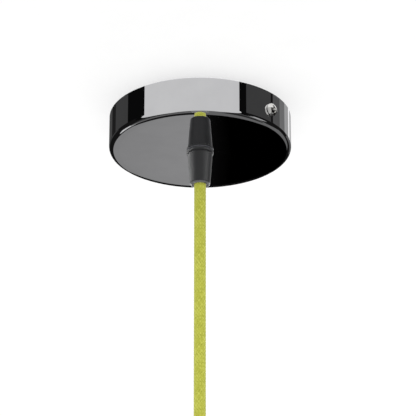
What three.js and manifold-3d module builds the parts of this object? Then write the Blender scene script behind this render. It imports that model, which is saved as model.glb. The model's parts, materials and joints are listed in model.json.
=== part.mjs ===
// Pendant cord set: a ceiling canopy, a textile cord and a screw lamp holder.
// Millimetres, +Z up. The ceiling is the plane z = 0, with the bracket's top face on it,
// and X runs along the bracket, through the two side screws that hold the canopy.

import * as THREE from 'three';
import { mergeVertices } from 'three/addons/utils/BufferGeometryUtils.js';
import Module from 'manifold-3d';

const wasm = await Module();
wasm.setup();

// Clearances
const seatGap = 0.2; // between two pieces that seat on each other
const holeGap = 0.25; // all round a screw, stem, cord or core in its hole
const liningGap = 0.5; // round the socket lining in its body

// Canopy, a cup pressed from sheet
const canopyRadius = 50;
const canopyHeight = 20.3;
const canopyWall = 1;
const canopyBend = 2.4; // outer radius of the bottom edge

// Ceiling bracket, a strip with both ends bent down
const bracketPlate = 1.5;
const bracketWidth = 16;
const bracketBend = 2.2; // radius of the bend at mid-plate
const earMargin = 4; // ear below the axis of the side screw
const slotLength = 16;
const slotWidth = 5;
const slotCentre = 24; // from the middle of the bracket

// Side screws, through the canopy's wall into the bracket's ears
const sideScrewDepth = 10.8; // axis below the ceiling
const sideScrewShank = 4;
const sideScrewLength = 8;
const sideScrewHead = 7;
const sideScrewRise = 2.4;

// Shares of every screw's head: how much of its height is crowned, and its cross recess
const crownShare = 0.55; // of the height
const crownFlat = 0.28; // of the width, from the axis to where the crown begins
const recessReach = 0.5; // of the width
const recessWidth = 0.12; // of the width
const recessDepth = 0.55; // of the height

// Cord, its three cores and their bare ends
const cordDiameter = 6.4;
const coreDiameter = 2.2;
const corePitchRadius = 1.5; // cores' axes round the cord's axis
const wireDiameter = 1.2;
const bareLength = 5;

// Cord grip: a threaded base with a split collet, and a cone screwed over it
const gripLength = 20.2; // base flange and cone
const flangeDiameter = 14.8;
const flangeHeight = 1.6;
const coneWide = 13.7;
const coneTip = 11.1;
const coneTipRound = 1.1;
const stemDiameter = 10;
const stemPastNut = 1;
const colletRadius = 4.8;
const colletLength = 13;
const colletSlit = 0.8;
const washerDiameter = 16;
const washerThickness = 0.8;
const washerTeeth = 12;
const nutAcrossFlats = 14;
const nutHeight = 3;

// Terminal block on the canopy's floor, with three brass clamps
const poleCount = 3;
const polePitch = 8;
const blockCentre = 27; // from the cord's axis, along Y
const blockDepth = 16;
const blockHeight = 8;
const blockAxis = 4.8; // conductors above the block's base
const turretDiameter = 6.2;
const turretRise = 3;
const turretSpacing = 8;
const clampWidth = 4.6;
const clampLength = 13;
const clampBore = 3;
const grubDiameter = 2.8;
const grubLength = 4.6;

// Earth screws and the ring lugs under their heads
const earthScrewShank = 4;
const earthScrewHead = 7;
const earthScrewRise = 2;
const earthScrewInset = 8.1; // from the outer face of the bracket's ear
const lugThickness = 0.8;
const lugRing = 4; // outer radius of the ring
const lugBarrelRadius = 1.6;
const lugBarrelLength = 5;
const lugReach = 1; // barrel past the edge of the plate that the ring lies on

// Lamp holder shell, a plain deep cup
const holderTop = -206; // its closed end, below the ceiling
const holderRadius = 19.5;
const holderHeight = 58;
const holderWall = 0.8;
const holderBend = 2.6;

// Strap that carries the holder's body
const strapPlate = 1;
const strapWidth = 10;
const strapReach = 12; // middle of its legs from the axis
const strapFoot = 6.4; // inner end of its feet from the axis
const strapDrop = 19; // from the shell's closed end to the feet
const strapBend = 1.6;
const strapEyeRadius = 8; // round the stem's hole in the web

// Ceramic body and its socket
const bodyGap = 0.8; // to the shell, all round
const bodyLip = 1; // body's end inside the shell's mouth
const socketFloor = 9; // ceramic between the socket and the terminals
const threadPitch = 3.63; // rolled lamp thread
const threadMajor = 26.7;
const threadMinor = 24.5;
const liningWall = 0.4;
const liningLength = 22;
const liningHole = 7.2; // radius of the hole in its end
const fixingRadius = 9.2; // screws and rivet through its end
const contactWidth = 4.4;
const contactPlate = 0.5;
const contactReach = 9; // tongue's lowest point below the socket's floor
const rivetDiameter = 2.4;
const rivetHead = 3.8;
const rivetHeadHeight = 0.7;
const bodyScrewShank = 3;
const bodyScrewHead = 5;
const bodyScrewRise = 1.6;

// Terminals on the body
const terminalLength = 7;
const terminalDepth = 5;
const terminalHeight = 6;
const terminalAxis = 3; // conductor above the terminal's base
const terminalSpread = 2; // conductors each side of the middle
const liveTerminal = 4; // its centre along Y
const clampScrewShank = 2.5;
const clampScrewHead = 4.2;
const clampScrewRise = 1.4;

// Facets round each kind of piece
const shellSides = 64;
const holderSides = 40;
const gripSides = 24;
const screwSides = 12;
const smallSides = 10;
const coreSides = 8;
const bendSteps = 4;
const rowsPerTurn = 4; // rings of points along one turn of the lamp thread

// Heights and places that follow from these
const canopyFloor = canopyWall - canopyHeight;
const canopyBore = canopyRadius - canopyWall;
const earFace = Math.sqrt(canopyBore ** 2 - (bracketWidth / 2) ** 2) - seatGap;
const earDrop = sideScrewDepth + earMargin;
const earthScrewCentre = earFace - earthScrewInset;
const gripBore = cordDiameter / 2 + holeGap;
const stemHole = stemDiameter / 2 + holeGap;
const canopyStack = canopyWall + seatGap + washerThickness;
const strapTop = holderWall + seatGap;
const holderStack = strapTop + strapPlate;
const stemEnd = seatGap + nutHeight + stemPastNut;
const jacketTop = -canopyHeight + canopyStack + stemEnd + seatGap;
const jacketBottom = holderTop - holderStack - stemEnd - seatGap;
const blockBase = canopyFloor + seatGap;
const blockWireHeight = blockBase + blockAxis;
const holderBore = holderRadius - holderWall;
const bodyTop = holderTop - strapDrop - seatGap;
const bodyBottom = holderTop - holderHeight + bodyLip;
const socketTop = bodyTop - socketFloor;
const liningRadius = threadMajor / 2 + liningWall;
const terminalBase = bodyTop + seatGap;
const terminalWireHeight = terminalBase + terminalAxis;
const earthScrewSeat = bracketPlate + seatGap + lugThickness + seatGap;

const polishedChrome = { color: 0xe6e7ea, roughness: 0.03, metalness: 1 };
const zincSteel = { color: 0xb4b7ba, roughness: 0.35, metalness: 1 };
const brightSteel = { color: 0xd8d9dc, roughness: 0.12, metalness: 1 };
const blackPlastic = { color: 0x2f3033, roughness: 0.4, metalness: 0 };
const limeTextile = { color: 0xb6ba52, roughness: 0.85, metalness: 0 };
const whitePlastic = { color: 0xe6e4dc, roughness: 0.5, metalness: 0 };
const brass = { color: 0xc9a35a, roughness: 0.3, metalness: 1 };
const ceramic = { color: 0xece8df, roughness: 0.4, metalness: 0 };
const tinnedCopper = { color: 0xb9b6b0, roughness: 0.35, metalness: 1 };
const brownSleeve = { color: 0x6b4226, roughness: 0.5, metalness: 0 };
const blueSleeve = { color: 0x2c62a8, roughness: 0.5, metalness: 0 };
const greenYellowSleeve = { color: 0x6e9a2e, roughness: 0.5, metalness: 0 };

const pendant = new THREE.Group();

// Makes a solid of a closed geometry: equal vertices merged, collapsed triangles left out.
function solidOf(geometry) {
  const bare = geometry.clone();
  bare.deleteAttribute('normal');
  bare.deleteAttribute('uv');
  const merged = mergeVertices(bare);
  const corners = merged.index.array;
  const kept = [];
  for (let i = 0; i < corners.length; i += 3) {
    const [a, b, c] = [corners[i], corners[i + 1], corners[i + 2]];
    if (a !== b && b !== c && c !== a) kept.push(a, b, c);
  }
  const vertProperties = merged.getAttribute('position').array;
  return new wasm.Manifold(new wasm.Mesh({ numProp: 3, vertProperties, triVerts: new Uint32Array(kept) }));
}

function geometryOf(solid) {
  const { vertProperties, triVerts } = solid.getMesh();
  const geometry = new THREE.BufferGeometry();
  geometry.setAttribute('position', new THREE.BufferAttribute(vertProperties, 3));
  geometry.setIndex(new THREE.BufferAttribute(triVerts, 1));
  geometry.computeVertexNormals();
  return geometry;
}

function addPiece(parent, name, solid, finish) {
  const mesh = new THREE.Mesh(geometryOf(solid), new THREE.MeshStandardMaterial(finish));
  mesh.name = name;
  parent.add(mesh);
  return mesh;
}

// Points of an ellipse's arc about [x, y], both ends included.
function arc(x, y, across, up, from, to, steps = bendSteps) {
  return Array.from({ length: steps + 1 }, (_, i) => {
    const angle = from + ((to - from) * i) / steps;
    return [x + across * Math.cos(angle), y + up * Math.sin(angle)];
  });
}

// Turns a closed outline of [radius, height] points round the Z axis.
function turned(outline, sides) {
  const points = outline.map(([radius, height]) => new THREE.Vector2(radius, height));
  if (THREE.ShapeUtils.area(points) < 0) points.reverse();
  points.push(points[0].clone());
  return solidOf(new THREE.LatheGeometry(points, sides).rotateX(Math.PI / 2));
}

// Raises a flat shape from one height to another.
function prism(shape, low, high, curveSegments = screwSides) {
  const options = { depth: high - low, bevelEnabled: false, curveSegments };
  return solidOf(new THREE.ExtrudeGeometry(shape, options).translate(0, 0, low));
}

function block(width, depth, height, centre) {
  return solidOf(new THREE.BoxGeometry(width, depth, height).translate(...centre));
}

// A round bar between two points.
function rod(radius, start, end, sides = smallSides) {
  const from = new THREE.Vector3(...start);
  const span = new THREE.Vector3(...end).sub(from);
  const length = span.length();
  const turn = new THREE.Quaternion().setFromUnitVectors(new THREE.Vector3(0, 1, 0), span.normalize());
  const bar = new THREE.CylinderGeometry(radius, radius, length, sides).translate(0, length / 2, 0);
  return solidOf(bar.applyQuaternion(turn).translate(from.x, from.y, from.z));
}

function cutAway(solid, ...tools) {
  return tools.reduce((rest, tool) => rest.subtract(tool), solid);
}

function joined(...solids) {
  return solids.reduce((whole, solid) => whole.add(solid));
}

// A strip of sheet bent in the XZ plane: its mid-plate line has an arc at each corner.
function bentStrip(corners, bend, plate, width) {
  const line = corners.map(([x, z]) => new THREE.Vector2(x, z));
  const heading = (i) => line[i + 1].clone().sub(line[i]).normalize();
  const origin = new THREE.Vector2();
  const near = [];
  const far = [];
  const put = (point, along) => {
    const side = new THREE.Vector2(-along.y, along.x).multiplyScalar(plate / 2);
    near.push(point.clone().add(side));
    far.unshift(point.clone().sub(side));
  };
  put(line[0], heading(0));
  for (let i = 1; i < line.length - 1; i++) {
    const before = heading(i - 1);
    const after = heading(i);
    const angle = Math.atan2(before.cross(after), before.dot(after));
    const start = line[i].clone().addScaledVector(before, -bend * Math.tan(Math.abs(angle) / 2));
    const square = new THREE.Vector2(-before.y, before.x);
    const hub = start.clone().addScaledVector(square, bend * Math.sign(angle));
    for (let k = 0; k <= bendSteps; k++) {
      const swing = (angle * k) / bendSteps;
      put(start.clone().rotateAround(hub, swing), before.clone().rotateAround(origin, swing));
    }
  }
  put(line[line.length - 1], heading(line.length - 2));
  const options = { depth: width, bevelEnabled: false };
  const strip = new THREE.ExtrudeGeometry(new THREE.Shape([...near, ...far]), options);
  return solidOf(strip.rotateX(Math.PI / 2).translate(0, width / 2, 0));
}

// A pan-head screw that stands on the underside of its head, point down, with a cross recess.
function panScrew(shank, length, head, rise, sides = screwSides) {
  const tip = shank / 8;
  const crown = rise * crownShare;
  const flat = head * crownFlat;
  const screw = turned([
    [0, -length],
    [shank / 2 - tip, -length],
    [shank / 2, tip - length],
    [shank / 2, 0],
    [head / 2, 0],
    ...arc(flat, rise - crown, head / 2 - flat, crown, 0, Math.PI / 2, 3),
    [0, rise],
  ], sides);
  const wing = head * recessReach;
  const slit = head * recessWidth;
  const depth = rise * recessDepth;
  const across = block(wing, slit, depth * 2, [0, 0, rise]);
  const along = block(slit, wing, depth * 2, [0, 0, rise]);
  return cutAway(screw, across, along);
}

// A headless screw with a single slot, standing on z = 0.
function grubScrew(diameter, length) {
  const screw = rod(diameter / 2, [0, 0, 0], [0, 0, length]);
  return cutAway(screw, block(diameter * 1.2, diameter * 0.2, 2, [0, 0, length]));
}

// A wire along a chosen route, with a bare end past its last point where one is asked for.
function lead(route, bareEnds = {}) {
  const points = route.map((point) => new THREE.Vector3(...point));
  const path = new THREE.CatmullRomCurve3(points, false, 'centripetal');
  const steps = Math.round(path.getLength() / (coreDiameter * 1.2));
  const section = new THREE.Shape().absarc(0, 0, coreDiameter / 2, 0, 2 * Math.PI);
  const options = { steps, extrudePath: path, curveSegments: coreSides / 2, bevelEnabled: false };
  const sleeve = solidOf(new THREE.ExtrudeGeometry(section, options));
  const wires = [];
  const bare = (end, outwards) => {
    const base = end.clone().addScaledVector(outwards, -coreDiameter / 2);
    const point = end.clone().addScaledVector(outwards, bareLength);
    wires.push(rod(wireDiameter / 2, base.toArray(), point.toArray(), coreSides));
  };
  if (bareEnds.last) bare(points[points.length - 1], new THREE.Vector3(...bareEnds.last));
  if (bareEnds.first) bare(points[0], new THREE.Vector3(...bareEnds.first));
  return joined(sleeve, ...wires);
}

// The cup: open at the ceiling, with a hole for the grip's stem and one for each side screw.
function canopyShell() {
  const inside = canopyBend - canopyWall;
  const cup = turned([
    [stemHole, -canopyHeight],
    ...arc(canopyRadius - canopyBend, canopyBend - canopyHeight, canopyBend, canopyBend, -Math.PI / 2, 0),
    [canopyRadius, 0],
    [canopyBore, 0],
    ...arc(canopyRadius - canopyBend, canopyBend - canopyHeight, inside, inside, 0, -Math.PI / 2, 2),
    [stemHole, canopyFloor],
  ], shellSides);
  const reach = canopyRadius + canopyWall;
  const hole = rod(sideScrewShank / 2 + holeGap, [-reach, 0, -sideScrewDepth], [reach, 0, -sideScrewDepth]);
  return cutAway(cup, hole);
}

// The strip: a slot each side for a ceiling screw, a solid middle, and a tapped hole in each ear.
function ceilingBracket() {
  const ear = earFace - bracketPlate / 2;
  const level = -bracketPlate / 2;
  const strip = bentStrip([[-ear, -earDrop], [-ear, level], [ear, level], [ear, -earDrop]],
    bracketBend, bracketPlate, bracketWidth);
  const slots = [-slotCentre, slotCentre].map((centre) => {
    const reach = (slotLength - slotWidth) / 2;
    const outline = new THREE.Shape();
    outline.absarc(centre + reach, 0, slotWidth / 2, -Math.PI / 2, Math.PI / 2);
    outline.absarc(centre - reach, 0, slotWidth / 2, Math.PI / 2, (3 * Math.PI) / 2);
    return prism(outline, -2 * bracketPlate, bracketPlate, smallSides / 2);
  });
  const tapped = rod(sideScrewShank / 2 + holeGap, [-earFace - 1, 0, -sideScrewDepth],
    [earFace + 1, 0, -sideScrewDepth]);
  const earthHole = rod(earthScrewShank / 2 + holeGap, [-earthScrewCentre, 0, -2 * bracketPlate],
    [-earthScrewCentre, 0, bracketPlate]);
  return cutAway(strip, ...slots, tapped, earthHole);
}

// The base: a stem that rises through the wall it is fixed to, a flange under that wall,
// and a collet with four slits below. z = 0 is the wall's outer face.
function gripBase(stack) {
  const flangeTop = -seatGap;
  const flangeBottom = flangeTop - flangeHeight;
  const edge = 0.4;
  const colletEnd = flangeBottom - colletLength;
  const base = turned([
    [gripBore, colletEnd],
    [colletRadius - 1, colletEnd],
    [colletRadius, colletEnd + 3],
    [colletRadius, flangeBottom],
    [flangeDiameter / 2 - edge, flangeBottom],
    [flangeDiameter / 2, flangeBottom + edge],
    [flangeDiameter / 2, flangeTop - edge],
    [flangeDiameter / 2 - edge, flangeTop],
    [stemDiameter / 2, flangeTop],
    [stemDiameter / 2, stack + stemEnd],
    [gripBore, stack + stemEnd],
  ], gripSides);
  const slitTop = flangeBottom - colletLength / 2;
  const slitHeight = slitTop - colletEnd + 1;
  const middle = [0, 0, slitTop - slitHeight / 2];
  const across = block(flangeDiameter, colletSlit, slitHeight, middle);
  const along = block(colletSlit, flangeDiameter, slitHeight, middle);
  return cutAway(base, across, along);
}

// The cone: wide under the flange, its round tip closing on the cord.
function gripCone() {
  const top = -seatGap - flangeHeight - seatGap;
  const tip = -gripLength;
  const colletEnd = top - colletLength;
  const bore = colletRadius + holeGap;
  const round = coneTipRound;
  const slope = (coneWide - coneTip) / 2 / (top - tip);
  const shoulder = coneTip / 2 + slope * round;
  return turned([
    [gripBore, tip],
    ...arc(shoulder - round, tip + round, round, round, -Math.PI / 2, 0, 3),
    [coneWide / 2, top],
    [bore, top],
    [bore, colletEnd + 3 - seatGap],
    [gripBore + 0.6, colletEnd - 1],
    [gripBore, colletEnd - 1],
  ], gripSides);
}

// A washer with a ring of teeth round its edge.
function lockWasher(bottom) {
  const outline = new THREE.Shape();
  const halfTooth = Math.PI / washerTeeth;
  for (let i = 0; i < washerTeeth; i++) {
    const start = 2 * i * halfTooth;
    outline.absarc(0, 0, washerDiameter / 2, start, start + halfTooth);
    outline.absarc(0, 0, washerDiameter / 2 - 1, start + halfTooth, start + 2 * halfTooth);
  }
  const hole = rod(stemHole, [0, 0, bottom - 1], [0, 0, bottom + washerThickness + 1], gripSides);
  return cutAway(prism(outline, bottom, bottom + washerThickness, 2), hole);
}

function lockNut(bottom) {
  const corner = nutAcrossFlats / Math.sqrt(3);
  const top = bottom + nutHeight;
  const edge = 0.8;
  const hexagon = turned([[0, bottom], [corner, bottom], [corner, top], [0, top]], 6);
  const chamfer = turned([
    [0, bottom],
    [corner - edge, bottom],
    [corner, bottom + edge / 2],
    [corner, top - edge / 2],
    [corner - edge, top],
    [0, top],
  ], gripSides);
  const hole = rod(stemHole, [0, 0, bottom - 1], [0, 0, top + 1], gripSides);
  return cutAway(hexagon.intersect(chamfer), hole);
}

// The grip and its nut, clamped on a stack of sheet with its outer face at z = 0.
function cordGrip(prefix, stack) {
  const group = new THREE.Group();
  addPiece(group, `${prefix}_grip_base`, gripBase(stack), blackPlastic);
  addPiece(group, `${prefix}_grip_cone`, gripCone(), blackPlastic);
  addPiece(group, `${prefix}_lock_nut`, lockNut(stack + seatGap), zincSteel);
  return group;
}

// The free cord: straight down, because the lamp below pulls it taut.
const cordRoute = [
  [0, 0, -13.9], [0, 0, -22], [0, 0, -31], [0, 0, -41], [0, 0, -53], [0, 0, -65], [0, 0, -78],
  [0, 0, -91], [0, 0, -104], [0, 0, -117], [0, 0, -130], [0, 0, -143], [0, 0, -156], [0, 0, -169],
  [0, 0, -182], [0, 0, -194], [0, 0, -204], [0, 0, -212.4],
];

function supplyCord() {
  const path = new THREE.CatmullRomCurve3(cordRoute.map((point) => new THREE.Vector3(...point)));
  const section = new THREE.Shape().absarc(0, 0, cordDiameter / 2, 0, 2 * Math.PI);
  const steps = Math.round(path.getLength() / (2 * cordDiameter));
  const options = { steps, extrudePath: path, curveSegments: smallSides / 2, bevelEnabled: false };
  return solidOf(new THREE.ExtrudeGeometry(section, options));
}

const poles = Array.from({ length: poleCount }, (_, i) => (i - (poleCount - 1) / 2) * polePitch);
const turretRows = [blockCentre - turretSpacing / 2, blockCentre + turretSpacing / 2];

// The moulded block: a tunnel for each clamp and a turret over each clamp screw.
function terminalBlock() {
  const middle = [0, blockCentre, blockBase + blockHeight / 2];
  const length = poleCount * polePitch;
  const housing = [block(length, blockDepth, blockHeight, middle)];
  const hollows = [];
  const turretTop = blockBase + blockHeight + turretRise;
  const tunnel = clampWidth + 2 * holeGap;
  for (const x of poles) {
    hollows.push(block(tunnel, blockDepth + 2, tunnel, [x, blockCentre, blockWireHeight]));
    for (const y of turretRows) {
      housing.push(rod(turretDiameter / 2, [x, y, blockWireHeight], [x, y, turretTop]));
      hollows.push(rod(grubDiameter / 2 + holeGap, [x, y, blockWireHeight], [x, y, turretTop + 1]));
    }
  }
  return cutAway(joined(...housing), ...hollows);
}

function brassClamp(x) {
  const body = block(clampWidth, clampLength, clampWidth, [x, blockCentre, blockWireHeight]);
  const bore = rod(clampBore / 2, [x, blockCentre - clampLength, blockWireHeight],
    [x, blockCentre + clampLength, blockWireHeight]);
  const taps = turretRows.map((y) => rod(grubDiameter / 2 + holeGap, [x, y, blockWireHeight],
    [x, y, blockWireHeight + clampWidth]));
  return cutAway(body, bore, ...taps);
}

// A ring, a tongue and a barrel along +Y, flat on the XY plane at z = 0, thickness downwards.
function ringLug(shank, tongue) {
  const outline = new THREE.Shape();
  const neck = lugBarrelRadius;
  const lean = Math.asin(neck / lugRing);
  outline.absarc(0, 0, lugRing, Math.PI / 2 + lean, 2.5 * Math.PI - lean);
  outline.lineTo(neck, tongue + 1);
  outline.lineTo(-neck, tongue + 1);
  outline.holes.push(new THREE.Path().absarc(0, 0, shank / 2 + holeGap, 0, 2 * Math.PI));
  const plate = prism(outline, -lugThickness, 0, smallSides);
  const level = -lugThickness / 2;
  const barrel = rod(lugBarrelRadius, [0, tongue, level], [0, tongue + lugBarrelLength, level]);
  const bore = rod(wireDiameter / 2 + holeGap, [0, tongue + 1.5, level],
    [0, tongue + lugBarrelLength + 1, level]);
  return cutAway(joined(plate, barrel), bore);
}

// Both side screws, their heads against the canopy's wall.
function addSideScrews() {
  for (const [name, side] of [['side_screw_right', 1], ['side_screw_left', -1]]) {
    const solid = panScrew(sideScrewShank, sideScrewLength, sideScrewHead, sideScrewRise);
    const screw = addPiece(pendant, name, solid, brightSteel);
    screw.rotation.y = (side * Math.PI) / 2;
    screw.position.set(side * (canopyRadius + seatGap), 0, -sideScrewDepth);
  }
}

function addTerminalBlock() {
  addPiece(pendant, 'terminal_block', terminalBlock(), whitePlastic);
  const names = ['live', 'earth', 'neutral'];
  poles.forEach((x, i) => {
    const name = names[i] ?? `spare_${i}`;
    addPiece(pendant, `block_clamp_${name}`, brassClamp(x), brass);
    turretRows.forEach((y, row) => {
      const screw = grubScrew(grubDiameter, grubLength);
      const grub = addPiece(pendant, `block_screw_${name}_${row + 1}`, screw, zincSteel);
      grub.position.set(x, y, blockWireHeight + wireDiameter / 2 + seatGap);
    });
  });
}

// Where each core leaves the cord's end, and how far it first runs straight on.
const coreRun = 1.2;
const coreStart = {
  live: [-corePitchRadius * Math.cos(Math.PI / 6), -corePitchRadius / 2],
  neutral: [corePitchRadius * Math.cos(Math.PI / 6), -corePitchRadius / 2],
  earth: [0, corePitchRadius],
};

function addCanopyCores() {
  const start = jacketTop + seatGap;
  const mouth = blockCentre - clampLength / 2;
  const wire = blockWireHeight;
  const side = (sign, [x, y]) => [
    [x, y, start], [x, y, start + coreRun],
    [sign * polePitch * 0.3, mouth * 0.05, start + coreRun * 3],
    [sign * polePitch * 0.58, mouth * 0.22, start + coreRun * 4],
    [sign * polePitch * 0.83, mouth * 0.44, start + coreRun * 3],
    [sign * polePitch * 0.97, mouth - bareLength * 1.3, wire + coreDiameter * 0.9],
    [sign * polePitch, mouth - bareLength * 0.6, wire], [sign * polePitch, mouth, wire],
  ];
  const live = side(-1, coreStart.live);
  const neutral = side(1, coreStart.neutral);
  const earth = [
    [...coreStart.earth, start], [...coreStart.earth, start + coreRun],
    [0, mouth * 0.16, start + coreRun * 3], [0, mouth * 0.32, start + coreRun * 3.8],
    [0, mouth * 0.51, start + coreRun * 2.5], [0, mouth - bareLength * 1.3, wire + coreDiameter * 0.7],
    [0, mouth - bareLength * 0.6, wire], [0, mouth, wire],
  ];
  addPiece(pendant, 'canopy_core_live', lead(live, { last: [0, 1, 0] }), brownSleeve);
  addPiece(pendant, 'canopy_core_neutral', lead(neutral, { last: [0, 1, 0] }), blueSleeve);
  addPiece(pendant, 'canopy_core_earth', lead(earth, { last: [0, 1, 0] }), greenYellowSleeve);
}

// The lead from the block's earth clamp round to the bracket's earth screw.
function addBondingLead() {
  const tongue = bracketWidth / 2 + lugReach;
  const lug = addPiece(pendant, 'bonding_lug', ringLug(earthScrewShank, tongue), tinnedCopper);
  lug.position.set(-earthScrewCentre, 0, -bracketPlate - seatGap);
  const level = -bracketPlate - seatGap - lugThickness / 2;
  const lugMouth = tongue + lugBarrelLength + seatGap;
  const far = blockCentre + clampLength / 2;
  const x = -earthScrewCentre;
  const route = [
    [x, lugMouth, level], [x, lugMouth + lugBarrelLength * 0.4, level],
    [x + lugThickness, lugMouth + lugBarrelLength, level - lugThickness],
    [x + bracketWidth * 0.35, lugMouth + bracketWidth * 0.75, level - bracketWidth * 0.21],
    [x + bracketWidth * 0.97, far + lugReach, level - bracketWidth * 0.45],
    [-polePitch * 1.62, far + polePitch * 0.68, level - bracketWidth * 0.65],
    [-polePitch * 0.5, far + polePitch * 0.8, blockWireHeight],
    [-polePitch * 0.05, far + polePitch * 0.5, blockWireHeight], [0, far, blockWireHeight],
  ];
  const bare = { first: [0, -(lugBarrelLength - 2) / bareLength, 0], last: [0, -1, 0] };
  addPiece(pendant, 'bonding_lead', lead(route, bare), greenYellowSleeve);
  const length = earthScrewSeat - 0.3;
  const screw = addPiece(pendant, 'earth_screw',
    panScrew(earthScrewShank, length, earthScrewHead, earthScrewRise), zincSteel);
  screw.rotation.x = Math.PI;
  screw.position.set(-earthScrewCentre, 0, -earthScrewSeat);
}

// The holder's cup: closed at the top round the grip's stem, open at the bottom for the lamp.
function holderShell() {
  const bottom = holderTop - holderHeight;
  const inside = holderBend - holderWall;
  return turned([
    [holderBore, bottom],
    [holderRadius, bottom],
    ...arc(holderRadius - holderBend, holderTop - holderBend, holderBend, holderBend, 0, Math.PI / 2),
    [stemHole, holderTop],
    [stemHole, holderTop - holderWall],
    ...arc(holderRadius - holderBend, holderTop - holderBend, inside, inside, Math.PI / 2, 0, 3),
  ], holderSides);
}

// The strap: its web is clamped by the nut, and its feet turn in over the ceramic body.
function holderStrap() {
  const web = holderTop - strapTop - strapPlate / 2;
  const foot = holderTop - strapDrop + strapPlate / 2;
  const strip = bentStrip([[-strapFoot, foot], [-strapReach, foot], [-strapReach, web], [strapReach, web],
    [strapReach, foot], [strapFoot, foot]], strapBend, strapPlate, strapWidth);
  const eye = rod(strapEyeRadius, [0, 0, web - strapPlate / 2], [0, 0, web + strapPlate / 2], gripSides);
  const stem = rod(stemHole, [0, 0, web - strapPlate], [0, 0, web + strapPlate], gripSides);
  const taps = [-fixingRadius, fixingRadius].map((x) => rod(bodyScrewShank / 2 + holeGap,
    [x, 0, foot - strapPlate], [x, 0, foot + strapPlate]));
  const earthLevel = (web + foot) / 2;
  const earthTap = rod(bodyScrewShank / 2 + holeGap, [strapReach - strapPlate, 0, earthLevel],
    [strapReach + strapPlate, 0, earthLevel]);
  return cutAway(joined(strip, eye), stem, ...taps, earthTap);
}

// The ceramic body: a socket below, a solid floor above it, holes for screws and rivets.
function holderBody() {
  const radius = holderBore - bodyGap;
  const socket = liningRadius + liningGap;
  const edge = 0.6;
  const body = turned([
    [0, socketTop],
    [socket, socketTop],
    [socket, bodyBottom + edge],
    [socket + edge, bodyBottom],
    [radius - edge, bodyBottom],
    [radius, bodyBottom + edge],
    [radius, bodyTop - edge],
    [radius - edge, bodyTop],
    [0, bodyTop],
  ], holderSides);
  const through = (x, y, diameter) => rod(diameter / 2 + holeGap, [x, y, socketTop - 1], [x, y, bodyTop + 1]);
  return cutAway(body, through(-fixingRadius, 0, bodyScrewShank), through(fixingRadius, 0, bodyScrewShank),
    through(0, -fixingRadius, rivetDiameter), through(0, liveTerminal, rivetDiameter));
}

// The socket lining: a sleeve rolled to the lamp thread, with a ring-shaped end.
// The thread fades out near both ends, so that the rim and the end stay round.
function socketLining() {
  const mean = (threadMajor + threadMinor) / 4;
  const wave = (threadMajor - threadMinor) / 4;
  const top = socketTop - seatGap;
  const bottom = top - liningLength;
  const rows = Math.round((liningLength - liningWall) / (threadPitch / rowsPerTurn));
  const rise = (liningLength - liningWall) / rows;
  const outer = Array.from({ length: rows + 1 }, (_, i) => [mean + liningWall, bottom + i * rise]);
  const inner = Array.from({ length: rows + 1 }, (_, i) => [mean, bottom + (rows - i) * rise]);
  outer[rows][1] = top;
  const outline = [...outer, [liningHole, top], [liningHole, top - liningWall], ...inner];
  const points = outline.map(([radius, height]) => new THREE.Vector2(radius, height));
  points.push(points[0].clone());
  const sleeve = new THREE.LatheGeometry(points, gripSides).rotateX(Math.PI / 2);
  const place = sleeve.getAttribute('position');
  for (let i = 0; i < place.count; i++) {
    const [x, y, z] = [place.getX(i), place.getY(i), place.getZ(i)];
    const radius = Math.hypot(x, y);
    if (radius < mean - wave) continue;
    const fade = Math.min(1, (z - bottom) / threadPitch, (top - z) / threadPitch);
    const turn = (2 * Math.PI * z) / threadPitch - Math.atan2(y, x);
    const grown = (radius + wave * Math.max(0, fade) * Math.cos(turn)) / radius;
    place.setXY(i, x * grown, y * grown);
  }
  const holes = [[-fixingRadius, 0, bodyScrewShank], [fixingRadius, 0, bodyScrewShank],
    [0, -fixingRadius, rivetDiameter]];
  return cutAway(solidOf(sleeve), ...holes.map(([x, y, diameter]) => rod(diameter / 2 + holeGap,
    [x, y, top - 2], [x, y, top + 1])));
}

// The centre contact: riveted flat at one end, then folded back under itself as a spring tongue.
function centreContact() {
  const base = socketTop - seatGap - contactPlate / 2;
  const start = liveTerminal + contactWidth / 2;
  const strip = bentStrip([[start, base], [-4.6, base], [-5.6, base - contactReach * 0.55],
    [1.8, base - contactReach], [3.4, base - contactReach * 0.8]], 0.9, contactPlate, contactWidth);
  const hole = rod(rivetDiameter / 2 + holeGap, [liveTerminal, 0, base - 1], [liveTerminal, 0, base + 1]);
  return cutAway(strip, hole);
}

// A rivet from the socket up to the underside of a terminal, its head in the socket.
function contactRivet(y, plate) {
  const seat = socketTop - seatGap - plate - seatGap;
  return turned([
    [0, seat - rivetHeadHeight],
    [rivetHead / 2 - 0.5, seat - rivetHeadHeight],
    [rivetHead / 2, seat],
    [rivetDiameter / 2, seat],
    [rivetDiameter / 2, bodyTop],
    [0, bodyTop],
  ], smallSides).translate([0, y, 0]);
}

// A brass terminal on the body: a hole for the conductor along Y, and a tapped hole above it.
function holderTerminal(x, y) {
  const middle = [0, y, terminalBase + terminalHeight / 2];
  const body = block(terminalLength, terminalDepth, terminalHeight, middle);
  const bore = rod(wireDiameter / 2 + holeGap, [x, y - terminalDepth, terminalWireHeight],
    [x, y + terminalDepth, terminalWireHeight]);
  const tap = rod(clampScrewShank / 2 + holeGap, [x, y, terminalWireHeight],
    [x, y, terminalBase + terminalHeight + 1]);
  return cutAway(body, bore, tap);
}

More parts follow.
